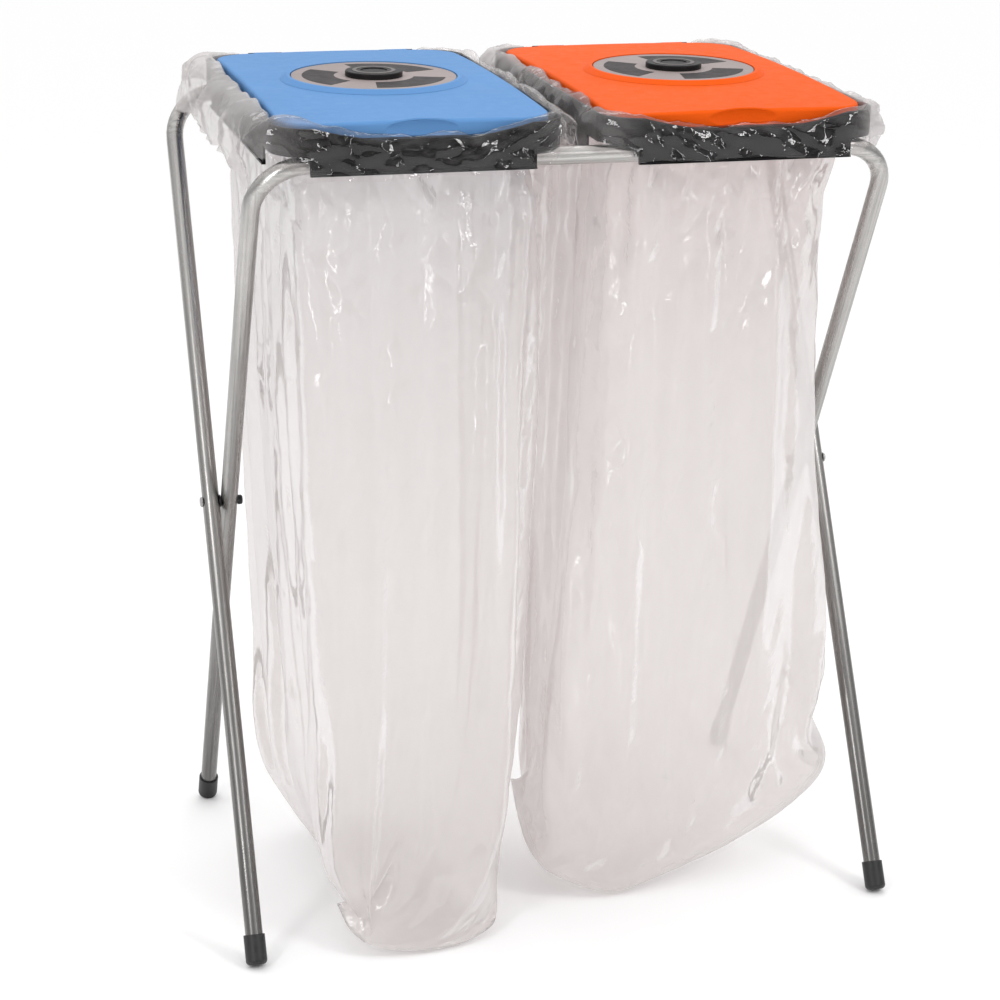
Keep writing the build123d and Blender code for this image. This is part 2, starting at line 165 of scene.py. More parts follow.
def moulded(name, colour, roughness, grain=900.0, strength=0.12, variation=0.10, gloss=0.35):
    """Injection-moulded plastic: fine grain, faint flow marks and a few scuffs."""
    mat, tree, shader, add = new_material(name)
    place = add("TexCoord").outputs["Object"]
    flow = add("TexNoise", Scale=7.0, Detail=4.0)
    fine = add("TexNoise", Scale=grain, Detail=2.0)
    scuff = add("TexNoise", Scale=55.0, Detail=8.0, Roughness=0.75)
    for node in (flow, fine, scuff):
        tree.links.new(place, node.inputs["Vector"])
    tint = ramp(
        add, tree, flow.outputs["Fac"],
        [(0.3, shade(colour, 1 - variation)), (0.7, shade(colour, 1 + variation))],
    )
    tree.links.new(tint, shader.inputs["Base Color"])
    rough = spread(add, tree, scuff.outputs["Fac"], roughness - 0.06, roughness + 0.10, 0.3, 0.7)
    tree.links.new(rough, shader.inputs["Roughness"])
    normal = bump(add, tree, fine.outputs["Fac"], strength, 0.0004)
    tree.links.new(normal, shader.inputs["Normal"])
    shader.inputs["Specular IOR Level"].default_value = gloss
    return mat


def zinc(name, colour, roughness, streak=1.0):
    """Zinc-plated steel: draw marks along the tube, cloudy plating, and painted shade that
    darkens it towards the floor.
    """
    mat, tree, shader, add = new_material(name)
    place = add("TexCoord").outputs["Object"]
    shader.inputs["Metallic"].default_value = 1.0
    across, along = 260.0 * streak, 5.0
    legs = add("Mapping")
    legs.inputs["Scale"].default_value = (across, along, along)
    bar = add("Mapping")
    bar.inputs["Scale"].default_value = (along, across, across)
    marks = []
    for mapping in (legs, bar):
        tree.links.new(place, mapping.inputs["Vector"])
        noise = add("TexNoise", Scale=1.0, Detail=4.0, Roughness=0.6)
        tree.links.new(mapping.outputs["Vector"], noise.inputs["Vector"])
        marks.append(noise.outputs["Fac"])
    split = add("SeparateXYZ")
    tree.links.new(place, split.inputs["Vector"])
    on_bar = spread(add, tree, split.outputs["Z"], 0.0, 1.0, 0.955, 0.985)
    mix = add("Mix", data_type="FLOAT")
    for source, key in ((on_bar, MIX_SHARE), (marks[0], FLOAT_A), (marks[1], FLOAT_B)):
        tree.links.new(source, mix.inputs[key])
    streaks = mix.outputs[FLOAT_OUT]
    cloud = add("TexNoise", Scale=60.0, Detail=8.0, Roughness=0.7)
    tree.links.new(place, cloud.inputs["Vector"])
    blend = add("Mix", data_type="FLOAT")
    blend.inputs[MIX_SHARE].default_value = 0.10
    tree.links.new(streaks, blend.inputs[FLOAT_A])
    tree.links.new(cloud.outputs["Fac"], blend.inputs[FLOAT_B])
    tint = ramp(
        add, tree, blend.outputs[FLOAT_OUT],
        [(0.34, shade(colour, 0.70)), (0.64, shade(colour, 1.12)), (0.5, shade(colour, 0.95))],
    )
    # Painted shade: the base colour is multiplied darker towards the floor, from full at 0.9 m
    # high down to 0.42 at 0.1 m.
    painted_floor_shade = add("Mix", data_type="RGBA", blend_type="MULTIPLY")
    painted_floor_shade.inputs[MIX_SHARE].default_value = 1.0
    tree.links.new(tint, painted_floor_shade.inputs[COLOUR_A])
    height = spread(add, tree, split.outputs["Z"], 0.42, 1.0, 0.1, 0.9)
    tree.links.new(height, painted_floor_shade.inputs[COLOUR_B])
    tree.links.new(painted_floor_shade.outputs[COLOUR_OUT], shader.inputs["Base Color"])
    streaked = blend.outputs[FLOAT_OUT]
    rough = spread(add, tree, streaked, roughness + 0.12, roughness - 0.06, 0.35, 0.65)
    tree.links.new(rough, shader.inputs["Roughness"])
    normal = bump(add, tree, streaks, 0.25, 0.0004)
    tree.links.new(normal, shader.inputs["Normal"])
    return mat


def rubber(name, colour, roughness):
    """Matt rubber with dust in its grain."""
    mat, tree, shader, add = new_material(name)
    place = add("TexCoord").outputs["Object"]
    fine = add("TexNoise", Scale=600.0, Detail=3.0)
    dust = add("TexNoise", Scale=90.0, Detail=8.0, Roughness=0.7)
    for node in (fine, dust):
        tree.links.new(place, node.inputs["Vector"])
    stops = [(0.35, shade(colour, 0.8)), (0.75, shade(colour, 1.9))]
    tint = ramp(add, tree, dust.outputs["Fac"], stops)
    tree.links.new(tint, shader.inputs["Base Color"])
    rough = spread(add, tree, dust.outputs["Fac"], roughness - 0.08, roughness + 0.12, 0.3, 0.7)
    tree.links.new(rough, shader.inputs["Roughness"])
    tree.links.new(bump(add, tree, fine.outputs["Fac"], 0.2, 0.0003), shader.inputs["Normal"])
    return mat


def film(name):
    """Thin clear polyethylene: mostly see-through, hazy in creases, with sharp glints."""
    mat, tree, shader, add = new_material(name)
    place = add("UVMap", uv_map="film").outputs["UV"]
    warp = add("TexNoise", Scale=5.0, Detail=3.0)
    tree.links.new(place, warp.inputs["Vector"])
    shift = add("VectorMath", operation="MULTIPLY_ADD")
    shift.inputs[1].default_value = (0.16, 0.16, 0.0)
    tree.links.new(warp.outputs["Color"], shift.inputs[0])
    tree.links.new(place, shift.inputs[2])
    soft = add("TexNoise", Scale=9.0, Detail=5.0, Roughness=0.5)
    patch = add("TexNoise", Scale=4.0, Detail=2.0)
    for node in (soft, patch):
        tree.links.new(shift.outputs["Vector"], node.inputs["Vector"])
    patchy = spread(add, tree, patch.outputs["Fac"], 0.0, 1.0, 0.45, 0.62)
    level = add("Attribute", attribute_name="level").outputs["Fac"]
    calmer = spread(add, tree, level, 1.0, 0.3, 0.12, 0.45)
    normal = bump(add, tree, soft.outputs["Fac"], calmer, 0.010)
    for scale, distance in ((7.0, 0.0036), (19.0, 0.0013)):
        cells = add("TexVoronoi", feature="DISTANCE_TO_EDGE", Scale=scale)
        tree.links.new(shift.outputs["Vector"], cells.inputs["Vector"])
        edge = spread(add, tree, cells.outputs["Distance"], 1.0, 0.0, 0.0, 0.16)
        crease = add("Math", operation="MULTIPLY")
        tree.links.new(edge, crease.inputs[0])
        tree.links.new(patchy, crease.inputs[1])
        normal = bump(add, tree, crease.outputs["Value"], calmer, distance, normal)
    for key, value in (("Base Color", FILM_COLOUR), ("Roughness", 0.4), ("IOR", 1.45)):
        shader.inputs[key].default_value = value
    tree.links.new(normal, shader.inputs["Normal"])
    through = add("BsdfTranslucent")
    through.inputs["Color"].default_value = FILM_COLOUR
    tree.links.new(normal, through.inputs["Normal"])
    milky = add("MixShader")
    milky.inputs["Fac"].default_value = 0.5
    tree.links.new(shader.outputs["BSDF"], milky.inputs[1])
    tree.links.new(through.outputs["BSDF"], milky.inputs[2])
    clear = add("BsdfTransparent")
    clear.inputs["Color"].default_value = CLEAR_COLOUR
    haze = add("Math", operation="ADD")
    faint = spread(add, tree, soft.outputs["Fac"], 0.0, 0.02, 0.35, 0.75)
    tree.links.new(faint, haze.inputs[0])
    tree.links.new(add("Attribute", attribute_name="milk").outputs["Fac"], haze.inputs[1])
    body = add("MixShader")
    tree.links.new(haze.outputs["Value"], body.inputs["Fac"])
    tree.links.new(clear.outputs["BSDF"], body.inputs[1])
    tree.links.new(milky.outputs["Shader"], body.inputs[2])
    gloss = add("BsdfGlossy", Roughness=0.08)
    gloss.inputs["Color"].default_value = (1, 1, 1, 1)
    tree.links.new(normal, gloss.inputs["Normal"])
    rise = add("Fresnel", IOR=1.35)
    tree.links.new(normal, rise.inputs["Normal"])
    glint = add("MixShader")
    shine = spread(add, tree, rise.outputs["Fac"], 0.03, 0.30, 0.0, 0.5)
    tree.links.new(shine, glint.inputs["Fac"])
    tree.links.new(body.outputs["Shader"], glint.inputs[1])
    tree.links.new(gloss.outputs["BSDF"], glint.inputs[2])
    tree.links.new(glint.outputs["Shader"], tree.nodes["Material Output"].inputs["Surface"])
    return mat


def paint(mat, *starts):
    """Gives a material to every CAD node whose name starts so."""
    for name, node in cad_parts.items():
        if name.startswith(starts):
            if not node.material_slots:
                node.data.materials.append(mat)
            for place in node.material_slots:
                place.material = mat


def paint_frame():
    paint(zinc("zinc_tube", (0.47, 0.458, 0.445), 0.27), "front_frame_tube", "rear_frame_tube")
    steel = zinc("pivot_steel", (0.52, 0.51, 0.50), 0.28, 2.0)
    paint(steel, "pivot_bolt", "clip_screws", "lid_pins", "knob_screw")
    foot = rubber("foot_rubber", (0.010, 0.010, 0.011), 0.45)
    paint(foot, "foot_cap", "rest_pads", "hatch_seal")
    paint(moulded("pivot_plastic", (0.012, 0.012, 0.012), 0.4), "pivot_nut", "pivot_spacer")
    # Name, colour, roughness, grain, strength, variation and gloss; then the nodes it is for.
    for values, nodes in (
        (("rim_plastic", (0.004, 0.0035, 0.004), 0.34, 1400.0, 0.10, 0.2, 0.08),
         ("rim_", "bar_clip")),
        (("lid_blue", (0.118, 0.272, 0.54), 0.48, 1600.0, 0.2, 0.03, 0.04), ("lid_left",)),
        (("lid_orange", (0.78, 0.098, 0.006), 0.48, 1600.0, 0.2, 0.03, 0.04), ("lid_right",)),
        (("hatch_grey", (0.31, 0.262, 0.255), 0.4, 900.0, 0.15, 0.06, 0.08),
         ("hatch_left", "hatch_right")),
        (("vane_dark", (0.036, 0.031, 0.032), 0.42, 700.0, 0.25, 0.12, 0.06), ("hatch_vanes",)),
        (("knob_black", (0.014, 0.013, 0.013), 0.36, 900.0, 0.15, 0.15, 0.08),
         ("knob_left", "knob_right")),
        (("knob_grey", (0.13, 0.115, 0.115), 0.36, 900.0, 0.15, 0.1, 0.1), ("knob_ring",)),
    ):
        paint(moulded(*values), *nodes)


# ---------------------------------------------------------------- film sacks


def centre(side):
    return -RIM_X if side == "left" else RIM_X


def ring(t, cx, cy, half_w, half_d, corner):
    """Points of a rounded rectangle at the fractions t of its length.

    They run anticlockwise from the middle of its front."""
    points = [(0.0, -half_d)]
    for sx, sy, start in ((1, -1, -90), (1, 1, 0), (-1, 1, 90), (-1, -1, 180)):
        for angle in np.radians(np.linspace(start, start + 90, 13)):
            points.append((
                sx * (half_w - corner) + corner * math.cos(angle),
                sy * (half_d - corner) + corner * math.sin(angle),
            ))
    points.append((0.0, -half_d))
    points = np.array(points)
    along = np.concatenate([[0], np.cumsum(np.linalg.norm(np.diff(points, axis=0), axis=1))])
    along /= along[-1]
    x, y = (np.interp(t, along, points[:, k]) for k in range(2))
    return np.stack([x + cx, y + cy], 1)


def outward(points):
    """Outward unit normals of a closed line of points in plan."""
    ahead = np.roll(points, -1, 0) - np.roll(points, 1, 0)
    normal = np.stack([ahead[:, 1], -ahead[:, 0]], 1)
    return normal / np.linalg.norm(normal, axis=1, keepdims=True)


def waves(t, counts, seed, drift=0.0):
    """Smooth uneven waves around the ring, about -1 to 1."""
    rng = np.random.default_rng(seed)
    total = np.zeros_like(t)
    for count in counts:
        size = rng.uniform(0.5, 1.0)
        place = count * t + rng.random() + drift * rng.uniform(-1, 1)
        total += size * np.sin(2 * math.pi * place)
    return total / len(counts) ** 0.5


def crumple(t, length, seed, low, high, number=7):
    """Sharp crossing creases, 0 to about 2: t is the place around the film, length along it."""
    rng = np.random.default_rng(seed)
    total = np.zeros_like(t)
    for _ in range(number):
        around = rng.integers(low, high)
        slope = rng.uniform(-1, 1) * math.pi * high / FILM_ROUND
        total += 1 - np.abs(np.sin(math.pi * around * t + slope * length + rng.uniform(0, 7)))
    return (total / number / 0.6) ** 1.6


def ease(x, low, high):
    """A smooth step from 0 at low to 1 at high."""
    x = np.clip((x - low) / (high - low), 0, 1)
    return x * x * (3 - 2 * x)


def sloped(points):
    """Turns points laid out level to the slope of the rims, about the front bar."""
    y, z = points[:, 1] + BAR_Y, points[:, 2] - SLOPE_Z
    return np.column_stack([
        points[:, 0],
        y * math.cos(SLOPE) - z * math.sin(SLOPE) - BAR_Y,
        SLOPE_Z + y * math.sin(SLOPE) + z * math.cos(SLOPE),
    ])


def wall_top(x, y, cx):
    """Height of the rim's outer wall: it dips at the front and has a notch at the back."""
    dx = np.abs(x - cx)
    radius = (DIP_HALF**2 + DIP_DEPTH**2) / (2 * DIP_DEPTH)
    arc = np.sqrt(np.maximum(radius**2 - np.minimum(dx, DIP_HALF) ** 2, 0))
    dip = DIP_BOTTOM + radius - arc
    top = np.full_like(x, WALL_TOP)
    front = y < -BAR_Y
    top[front] = np.maximum(np.minimum(dip, WALL_TOP), LEDGE_Z)[front]
    back = y > BAR_Y
    top[back] = (NOTCH_BOTTOM + NOTCH_DEPTH * ease(dx, *NOTCH_ENDS))[back]
    return top


def cuff(side, t):
    """Rows of the film from the hem, over the rim's wall, under the lid and down the throat."""
    cx = centre(side)
    seed = SEEDS[side]["cuff"]
    base = ring(t, cx, 0, *RIM_HALF)
    normal = outward(base)
    x, y = base.T
    left, right = np.clip(-normal[:, 0], 0, 1), np.clip(normal[:, 0], 0, 1)
    front, back = np.clip(-normal[:, 1], 0, 1), np.clip(normal[:, 1], 0, 1)
    shares = (left, right, front, back)
    billow, hem, fluff = (
        sum(size * share for size, share in zip(CUFFS[side][key], shares))
        for key in ("billow", "hem", "fluff")
    )
    hem = hem / sum(shares)
    lifted = 1 - ease(np.abs(np.abs(y) - BAR_Y), 0.0125, 0.021)
    hem = hem + 0.003 * waves(t, (5, 8, 13), seed)
    hem = hem + (BAR_TOP - hem) * lifted
    top = wall_top(x, y, cx)
    ruffle = (0.55 + 0.65 * waves(t, (3, 7, 11, 17, 26), seed + 1)).clip(0.05, 1.5)
    crest = top + 0.0022 + fluff * ruffle
    rows = []
    for k in range(CUFF_ROWS):
        e = k / (CUFF_ROWS - 1)
        z = hem + (crest - hem) * (1 - (1 - e) ** 1.15)
        swell = np.sqrt(1 - e**3.5)
        reach = 0.075 * e
        crinkle = crumple(t, 1.6 * reach, seed + 2, 12, 44) * (0.0058 + 0.16 * billow)
        crinkle = crinkle + crumple(t, 1.2 * reach, seed + 3, 5, 18, 5) * (0.0030 + 0.35 * billow)
        stand = 0.0028 + billow * (0.66 + 0.24 * math.sin(2.6 * e))
        off = stand * swell + crinkle * swell - 0.0015 * (1 - swell)
        rows.append(np.column_stack([base + normal * off[:, None], z]))
    lid_side = ring(t, cx, 0, RIM_HALF[0] - 0.0085, RIM_HALF[1] - 0.0095, RIM_HALF[2] - 0.0085)
    crest_line = rows[-1][:, :2]
    on_ledge = LEDGE_Z + FILM_GAP
    for share, drop in zip((0.25, 0.6, 0.9, 1.0, 1.0, 1.0), (0.03, 0.12, 0.32, 0.6, 0.85, 1.0)):
        pleat = 0.0012 * waves(t, (23, 31, 44), seed + 4)
        plan = crest_line + (lid_side - crest_line) * share + normal * (pleat * share)[:, None]
        rows.append(np.column_stack([plan, crest + (on_ledge - crest) * drop]))
    for share in (0.25, 0.5, 0.75, 0.95):
        mid = [a + (b - a) * share for a, b in zip((0.1665, 0.2625, 0.0395), THROAT_HALF)]
        plan = ring(t, cx, 0, *mid)
        ripple = 0.0022 * np.abs(waves(t, (19, 29, 41), seed + 5))
        raised = ripple * ease(np.float64(share), 0.3, 0.8)
        rows.append(np.column_stack([plan, on_ledge + raised]))
    inner = ring(t, cx, 0, *(v - 0.0012 for v in THROAT_HALF))
    inward = -outward(inner)
    pleats = (0.55 + 0.6 * waves(t, (14, 21, 25, 33), seed + 6)).clip(0, 1.6)
    for z in (1.0310, 1.0285, 1.0225, 1.0160, 1.0095, THROAT_Z):
        deeper = ease(np.float64(LEDGE_Z + 0.001 - z), -0.001, 0.02)
        depth = 0.0005 + pleats * PLEAT_DEPTH * deeper
        rows.append(np.column_stack([inner + inward * depth[:, None], np.full_like(t, z)]))
    return [sloped(row) for row in rows], pleats


# Level sections of each bag before it is simulated: height, centre, half sizes and corner.
SECTIONS = {
    "left": (
        (1.003, -0.198, 0, 0.1568, 0.2248, 0.039),
        (0.930, -0.194, 0, 0.163, 0.231, 0.055),
        (0.750, -0.190, 0, 0.165, 0.240, 0.080),
        (0.560, -0.188, -0.004, 0.162, 0.244, 0.095),
        (0.300, -0.192, -0.022, 0.151, 0.240, 0.100),
        (0.120, -0.213, -0.050, 0.141, 0.232, 0.085),
        (0.030, -0.208, -0.076, 0.122, 0.214, 0.070),
    ),
    "right": (
        (1.003, 0.198, 0, 0.1568, 0.2248, 0.039),
        (0.930, 0.192, 0, 0.160, 0.228, 0.090),
        (0.750, 0.188, 0, 0.164, 0.230, 0.105),
        (0.560, 0.187, 0, 0.166, 0.228, 0.095),
        (0.300, 0.179, -0.052, 0.199, 0.162, 0.060),
        (0.120, 0.176, -0.106, 0.215, 0.097, 0.045),
        (0.030, 0.170, -0.150, 0.205, 0.050, 0.035),
    ),
}

# Bottom weld: the left one runs from the front to the back, the right one from side to side.
SEAMS = {
    "left": (
        (-0.326, -0.245, 0.065), (-0.306, -0.288, 0.022), (-0.225, -0.302, 0.004),
        (-0.130, -0.298, 0.005), (-0.094, -0.262, 0.022), (-0.140, -0.150, 0.014),
        (-0.255, -0.040, 0.012), (-0.180, 0.050, 0.014), (-0.240, 0.110, 0.016),
        (-0.205, 0.165, 0.050),
    ),
    "right": (
        (0.374, -0.010, 0.235), (0.390, -0.130, 0.190), (0.394, -0.190, 0.150),
        (0.330, -0.204, 0.100), (0.240, -0.205, 0.055), (0.155, -0.206, 0.026),
        (0.075, -0.206, 0.002), (0.020, -0.204, 0.018), (-0.046, -0.190, 0.055),
        (-0.036, -0.060, 0.130),
    ),
}


def along_line(points, w):
    """Points at the fractions w of a smooth line through the given points."""
    points = np.array(points)
    for _ in range(3):
        finer = [points[0]]
        for a, b in zip(points[:-1], points[1:]):
            finer += [0.75 * a + 0.25 * b, 0.25 * a + 0.75 * b]
        points = np.array(finer + [points[-1]])
    along = np.concatenate([[0], np.cumsum(np.linalg.norm(np.diff(points, axis=0), axis=1))])
    return np.stack([np.interp(w * along[-1], along, points[:, k]) for k in range(3)], 1)


def hanging(side, t, pleats):
    """Rows of the film from the throat down to the weld, before it is simulated."""
    seed = SEEDS[side]["hanging"]
    levels = np.array(SECTIONS[side])[::-1]
    first = 0.0 if side == "left" else 0.25
    around = (t - first) % 1.0
    w = np.where(around <= 0.5, 2 * around, 2 - 2 * around)
    weld = along_line(SEAMS[side], w)
    rows = []
    for k in range(1, HANGING_ROWS + 1):
        f = k / HANGING_ROWS
        z = THROAT_Z + (WELD_Z - THROAT_Z) * f
        plan = ring(t, *(np.interp(z, levels[:, 0], levels[:, j]) for j in range(1, 6)))
        normal = outward(plan)
        fold = waves(t, (4, 7, 10, 13), seed, 0.8 * f) * 0.006 * ease(np.float64(f), 0.02, 0.3)
        fold = fold + waves(t, (15, 22, 31), seed + 1, 1.6 * f) * 0.0035
        fold = fold - pleats * PLEAT_DEPTH * (1 - ease(np.float64(f), 0.0, 0.35))
        plan = plan + normal * fold[:, None]
        level = np.column_stack([plan, np.full_like(t, z)])
        near_weld = np.clip((f - 0.80) / 0.20, 0, 1)
        closing = 1 - math.sqrt(max(0.0, 1 - near_weld**2.2))
        level[:, 2] += (weld[:, 2] - WELD_Z) * ease(np.float64(f), 0.45, 1.0)
        level[:, :2] += (weld[:, :2] - level[:, :2]) * closing
        rows.append(level + (sloped(level) - level) * (1 - ease(np.float64(f), 0.0, 0.25)))
    rows[-1] = weld.copy()
    return rows


def weld_pairs(side):
    """For each column, the column that shares its point on the weld."""
    first = 0 if side == "left" else COLUMNS // 4
    around = (np.arange(COLUMNS) - first) % COLUMNS
    return (first + np.where(around <= COLUMNS // 2, around, COLUMNS - around)) % COLUMNS


def grid_faces(rows, side):
    """Quads of the tube, with the last row's columns joined in pairs."""
    pair = weld_pairs(side)
    faces = []
    for j in range(rows - 1):
        for i in range(COLUMNS):
            n = (i + 1) % COLUMNS
            a, b = j * COLUMNS + i, j * COLUMNS + n
            c, d = (j + 1) * COLUMNS + n, (j + 1) * COLUMNS + i
            if j == rows - 2:
                c, d = (j + 1) * COLUMNS + int(pair[n]), (j + 1) * COLUMNS + int(pair[i])
            faces.append((a, b, c, d) if c != d else (a, b, c))
    return faces


def mesh_from(name, points, faces):
    mesh = bpy.data.meshes.new(name)
    mesh.from_pydata([tuple(p) for p in points], [], faces)
    mesh.validate()
    return mesh


def relax(points, side, rows):
    """Lets the hanging film crumple under its own weight, held at the throat and the weld.

    Its rest shape is the plain tube, so it takes its folds from its own length."""
    mesh = mesh_from("loose_film", points, grid_faces(rows, side))
    loose = bpy.data.objects.new("loose_film", mesh)
    scene.collection.objects.link(loose)
    loose.shape_key_add(name="Basis")
    rest = loose.shape_key_add(name="Rest")
    angle = 2 * math.pi * np.arange(COLUMNS) / COLUMNS
    radius = FILM_ROUND / (2 * math.pi)
    step = np.linalg.norm(np.diff(points.reshape(rows, COLUMNS, 3), axis=0), axis=2).mean(axis=1)
    depth = np.concatenate([[0], np.cumsum(step)])
    flat = np.empty_like(points).reshape(rows, COLUMNS, 3)
    for j in range(rows):
        flat[j] = np.column_stack([
            radius * np.sin(angle), -radius * np.cos(angle), np.full_like(angle, -depth[j]),
        ])
    rest.data.foreach_set("co", flat.ravel())
    held = loose.vertex_groups.new(name="held")
    last = (rows - 1) * COLUMNS
    held.add(list(range(COLUMNS)) + list(range(last, last + COLUMNS)), 1.0, "REPLACE")
    cloth = loose.modifiers.new("cloth", "CLOTH")
    settings = cloth.settings
    settings.quality = 6
    settings.mass = 0.08
    settings.air_damping = 2.0
    settings.tension_stiffness = 30
    settings.compression_stiffness = 30
    settings.shear_stiffness = 12
    settings.bending_stiffness = 2.0
    settings.vertex_group_mass = "held"
    settings.rest_shape_key = rest
    cloth.collision_settings.use_collision = False
    cloth.collision_settings.use_self_collision = False
    cloth.point_cache.frame_end = SIM_FRAMES
    for number in range(1, SIM_FRAMES + 1):
        scene.frame_set(number)
    shaped = loose.evaluated_get(bpy.context.evaluated_depsgraph_get()).to_mesh()
    moved = np.empty(len(points) * 3)
    shaped.vertices.foreach_get("co", moved)
    moved = moved.reshape(-1, 3)
    bpy.data.objects.remove(loose)
    scene.frame_set(1)
    shift = moved - points
    length = np.linalg.norm(shift, axis=1, keepdims=True)
    return points + shift * np.minimum(1, MOVE_CAP / np.maximum(length, 1e-9))


def creased(grid, t, side, first):
    """Adds sharp creases below the throat, strongest near the rim and stronger by the weld."""
    seed = SEEDS[side]["creased"]
    across = np.roll(grid, -1, 1) - np.roll(grid, 1, 1)
    down = np.gradient(grid, axis=0)
    normal = np.cross(across, down)
    normal /= np.maximum(np.linalg.norm(normal, axis=2, keepdims=True), 1e-9)
    steps = np.linalg.norm(np.diff(grid, axis=0), axis=2).mean(axis=1)
    depth = np.concatenate([[0], np.cumsum(steps)])
    for j in range(first + 1, len(grid) - 2):
        below = depth[j] - depth[first]
        to_weld = depth[-1] - depth[j]
        strength = 0.0012 + 0.0090 * math.exp(-below / 0.13)
        strength += 0.0030 * math.exp(-to_weld / 0.10)
        strength *= min(1, below / 0.02) * min(1, to_weld / 0.03)
        wide = crumple(t, depth[j] * 0.9, seed, 4, 15, 5) - 0.45
        fine = crumple(t, depth[j] * 1.3, seed + 1, 10, 30, 5) - 0.45
        grid[j] += normal[j] * (strength * (1.5 * wide + 0.45 * fine))[:, None]
    return grid


def sharp_lines(t, level, seed):
    """Narrow crossing ridges in patches, 0 to about 1.5."""
    rng = np.random.default_rng(seed)
    total = np.zeros_like(t)
    for _ in range(12):
        around = rng.integers(9, 26)
        slope = rng.uniform(-1, 1) * 36
        line = 1 - np.abs(np.sin(math.pi * around * t + slope * level + rng.uniform(0, 7)))
        turn = 2 * math.pi * (rng.integers(3, 12) * t + rng.random())
        place = np.sin(turn + rng.uniform(-25, 25) * level)
        total += line**4 * place.clip(0, 1)
    return np.minimum(total, 1.5)


def fine_creases(mesh, side, throat):
    """Adds narrow sharp creases to the subdivided film, most on the cuff and below the rim.

    There are none under the lid, nor where the two cuffs and the bars come close."""
    count = len(mesh.vertices)

    def values(name):
        data = np.empty(count)
        mesh.attributes[name].data.foreach_get("value", data)
        return data

    place, normal = np.empty(3 * count), np.empty(3 * count)
    mesh.vertices.foreach_get("co", place)
    mesh.vertices.foreach_get("normal", normal)
    place, normal = place.reshape(-1, 3), normal.reshape(-1, 3)
    t = np.arctan2(values("turn_sin"), values("turn_cos")) / (2 * math.pi) % 1.0
    level = values("level")
    below = level - throat
    hanging_strength = 0.0004 + 0.0030 * np.exp(-np.maximum(below, 0) / 0.13)
    strength = np.where(below < 0, 0.0022, hanging_strength)
    strength *= 1 - ease(level, 0.07, 0.09) * (1 - ease(level, throat - 0.01, throat + 0.01))
    strength *= np.where(below < 0, ease(np.abs(place[:, 0]), 0.009, 0.020), 1)
    place += normal * (strength * sharp_lines(t, level, SEEDS[side]["fine"]))[:, None]
    mesh.vertices.foreach_set("co", place.ravel())
    mesh.update()


def milk(side, grid, first):
    """How hazy the film looks at each point: the hanging bag and loose side folds most."""
    cx = centre(side)
    left = (grid[..., 0] < cx - 0.15) * 1.0
    right = (grid[..., 0] > cx + 0.15) * 1.0
    back = (grid[..., 1] > 0.25) * 1.0
    if side == "left":
        on_left, on_right = 0.12 + 0.43 * ease(grid[..., 1], -0.26, -0.12), 0.12
    else:
        on_left, on_right = 0.12 + 0.35 * ease(grid[..., 1], -0.15, 0.2), 0.4
    value = on_left * left + on_right * right + 0.3 * back
    for _ in range(6):
        value = (np.roll(value, 1, 1) + 2 * value + np.roll(value, -1, 1)) / 4
    down = np.arange(len(grid))[:, None]
    return value + (0.58 - value) * ease(down, first - 2.0, first + 2.0)


def sack(side, mat):
    """One film sack: its cuff over the rim and its hanging bag, as one thin sheet."""
    t = np.arange(COLUMNS) / COLUMNS
    rows, pleats = cuff(side, t)
    first = len(rows) - 1
    rows += hanging(side, t, pleats)
    points = np.array(rows).reshape(-1, 3)
    count = len(rows) - first
    points[first * COLUMNS:] = relax(points[first * COLUMNS:], side, count)
    points = creased(points.reshape(len(rows), COLUMNS, 3), t, side, first).reshape(-1, 3)
    mesh = mesh_from("film_" + side, points, grid_faces(len(rows), side))
    uv = mesh.uv_layers.new(name="film")
    lengths = np.linalg.norm(np.diff(np.array(rows), axis=0), axis=2).mean(axis=1)
    depth = np.concatenate([[0], np.cumsum(lengths)])
    for face in mesh.polygons:
        columns = [mesh.loops[k].vertex_index % COLUMNS for k in face.loop_indices]
        wraps = max(columns) - min(columns) > COLUMNS / 2
        for k, column in zip(face.loop_indices, columns):
            level = depth[mesh.loops[k].vertex_index // COLUMNS]
            turn = column + (COLUMNS if wraps and column < COLUMNS / 2 else 0)
            uv.data[k].uv = (turn / COLUMNS * FILM_ROUND, level)
    turn = np.tile(2 * math.pi * t, len(rows))
    fields = {
        "milk": milk(side, points.reshape(len(rows), COLUMNS, 3), first).ravel(),
        "turn_sin": np.sin(turn), "turn_cos": np.cos(turn), "level": np.repeat(depth, COLUMNS),
    }
    for name, values in fields.items():
        mesh.attributes.new(name, "FLOAT", "POINT").data.foreach_set("value", values)
    mesh.polygons.foreach_set("use_smooth", [True] * len(mesh.polygons))
    mesh.materials.append(mat)
    bag = bpy.data.objects.new("film_" + side, mesh)
    scene.collection.objects.link(bag)
    fine = bag.modifiers.new("fine", "SUBSURF")
    fine.levels = fine.render_levels = 1
    with bpy.context.temp_override(object=bag, active_object=bag):
        bpy.ops.object.modifier_apply(modifier="fine")
    fine_creases(bag.data, side, depth[first])
    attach(bag, "rim_" + side)
    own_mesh(bag)
    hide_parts("sack_" + side)


# ---------------------------------------------------------------- studio


def camera():
    data = bpy.data.cameras.new("camera")
    data.lens = 87.8
    data.sensor_width = 36
    data.clip_start = 0.1
    eye = bpy.data.objects.new("camera", data)
    scene.collection.objects.link(eye)
    azimuth, elevation, roll = (math.radians(angle) for angle in (-15.56, 16.72, 0.31))
    distance = 3.258
    aim = Vector((-0.0304, 0, 0.502))
    back = Vector((
        math.sin(azimuth) * math.cos(elevation),
        -math.cos(azimuth) * math.cos(elevation),
        math.sin(elevation),
    ))
    right = (-back).cross(Vector((0, 0, 1))).normalized()
    up = back.cross(right)
    turned = right * math.cos(roll) + up * math.sin(roll)
    up = back.cross(turned)
    turn = Matrix((turned, up, back)).transposed().to_4x4()
    eye.matrix_world = Matrix.Translation(aim + back * distance) @ turn
    scene.camera = eye


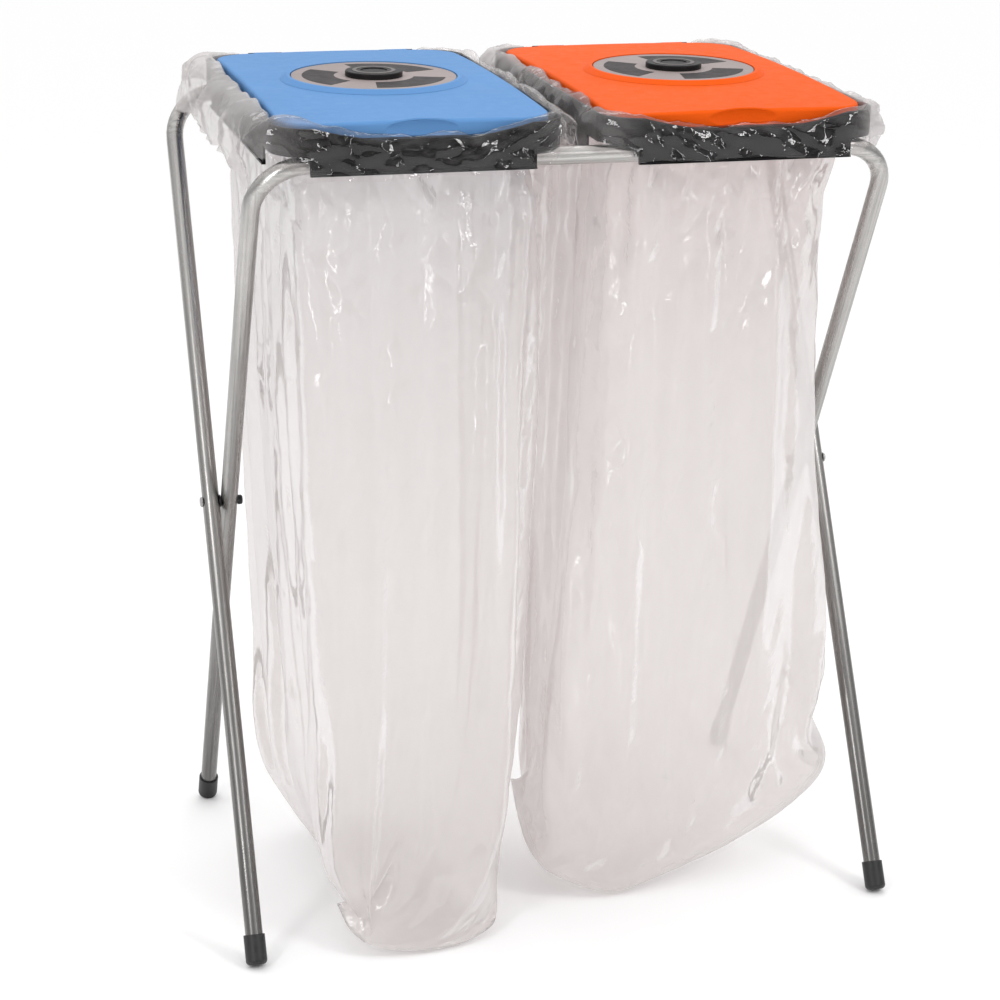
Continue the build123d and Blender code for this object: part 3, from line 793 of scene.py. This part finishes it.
def light(name, place, aim, size, power):
    data = bpy.data.lights.new(name, "AREA")
    data.shape = "RECTANGLE"
    data.size, data.size_y = size
    data.energy = power
    lamp = bpy.data.objects.new(name, data)
    scene.collection.objects.link(lamp)
    lamp.location = place
    lamp.rotation_euler = (Vector(aim) - Vector(place)).to_track_quat("-Z", "Y").to_euler()


def studio():
    world = bpy.data.worlds.new("world")
    scene.world = world
    world.use_nodes = True
    tree = world.node_tree
    sky = tree.nodes["Background"]
    direction = tree.nodes.new("ShaderNodeTexCoord").outputs["Generated"]
    split = tree.nodes.new("ShaderNodeSeparateXYZ")
    tree.links.new(direction, split.inputs["Vector"])

    def level(source, start, low, high):
        node = tree.nodes.new("ShaderNodeMapRange")
        for key, value in (
            ("From Min", start), ("From Max", 1.0), ("To Min", low), ("To Max", high),
        ):
            node.inputs[key].default_value = value
        tree.links.new(source, node.inputs["Value"])
        return node.outputs["Result"]

    total = tree.nodes.new("ShaderNodeMath")
    total.operation = "ADD"
    tree.links.new(level(split.outputs["Y"], -1.0, 0.02, 0.50), total.inputs[0])
    tree.links.new(level(split.outputs["Z"], 0.0, 0.12, 1.15), total.inputs[1])
    tree.links.new(total.outputs["Value"], sky.inputs["Strength"])
    white = tree.nodes.new("ShaderNodeBackground")
    white.inputs["Strength"].default_value = 1.0
    seen = tree.nodes.new("ShaderNodeLightPath").outputs["Is Camera Ray"]
    either = tree.nodes.new("ShaderNodeMixShader")
    tree.links.new(seen, either.inputs["Fac"])
    tree.links.new(sky.outputs["Background"], either.inputs[1])
    tree.links.new(white.outputs["Background"], either.inputs[2])
    tree.links.new(either.outputs["Shader"], tree.nodes["World Output"].inputs["Surface"])
    sky.inputs["Color"].default_value = (1, 1, 1, 1)
    white.inputs["Color"].default_value = (1, 1, 1, 1)
    corners = [(-30, -30, 0), (30, -30, 0), (30, 30, 0), (-30, 30, 0)]
    mesh = mesh_from("floor", corners, [(0, 1, 2, 3)])
    floor = bpy.data.objects.new("floor", mesh)
    scene.collection.objects.link(floor)
    mat, _, shader, _ = new_material("floor_paper")
    shader.inputs["Base Color"].default_value = (0.93, 0.93, 0.93, 1)
    shader.inputs["Roughness"].default_value = 0.9
    mesh.materials.append(mat)
    light("key", (1.7, -2.4, 2.6), (0, 0, 0.8), (0.8, 0.8), 26)
    light("fill", (-2.2, -1.9, 1.7), (0, 0, 0.8), (0.4, 1.2), 15)
    light("top", (0.1, 1.3, 2.9), (0, 0, 1.0), (1.8, 0.6), 10)
    light("right strip", (1.25, -2.7, 1.15), (0.1, 0, 0.9), (0.14, 1.5), 6)
    light("left strip", (-2.1, -2.3, 0.9), (-0.1, 0, 0.7), (0.12, 1.4), 5)
    scene.view_settings.view_transform = "Standard"


paint_frame()
film_mat = film("sack_film")
for side in ("left", "right"):
    sack(side, film_mat)
camera()
studio()
